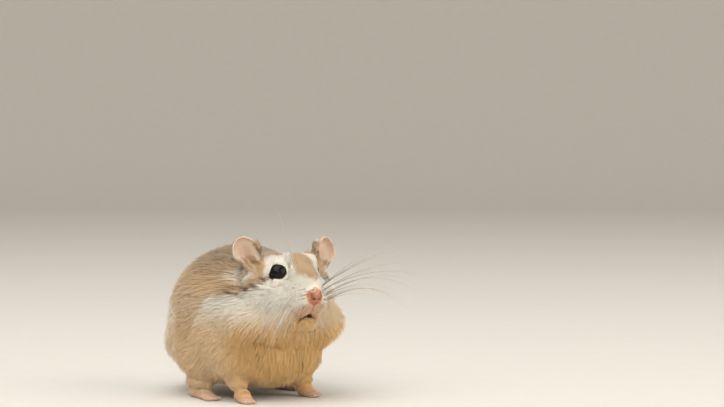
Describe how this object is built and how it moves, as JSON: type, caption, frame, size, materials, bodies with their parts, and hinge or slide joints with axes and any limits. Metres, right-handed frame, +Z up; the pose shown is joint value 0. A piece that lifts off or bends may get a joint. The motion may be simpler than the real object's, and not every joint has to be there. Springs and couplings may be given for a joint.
{
  "type": "roborovski dwarf hamster",
  "caption": "Small round dwarf hamster crouched on all fours, sandy back, white brows, cheeks and belly, rounded ears, pink nose, head turned a little to its right.",
  "frame": {"origin": "on the floor, below the middle of the animal's box", "axes": "+Z up, the animal faces -Y, its left side at +X"},
  "size_m": [0.0338, 0.055, 0.0406],
  "materials": {
    "coat": "sandy agouti fur over grey underfur",
    "pale_coat": "white to cream fur",
    "bare_skin": "pink bare skin with a fine down",
    "eye": "wet glossy black",
    "claw": "pale translucent horn",
    "whisker": "stiff tapered hair"
  },
  "bodies": {
    "root": {"head": "coat", "neck": "coat", "trunk": "coat", "foreleg_left": "pale_coat", "foreleg_right": "pale_coat", "hindleg_left": "pale_coat", "hindleg_right": "pale_coat", "tail": "pale_coat", "ear_left": "bare_skin", "ear_right": "bare_skin", "forefoot_left": "bare_skin", "forefoot_right": "bare_skin", "hindfoot_left": "bare_skin", "hindfoot_right": "bare_skin", "nose": "bare_skin", "eye_left": "eye", "eye_right": "eye"}
  },
  "joints": []
}
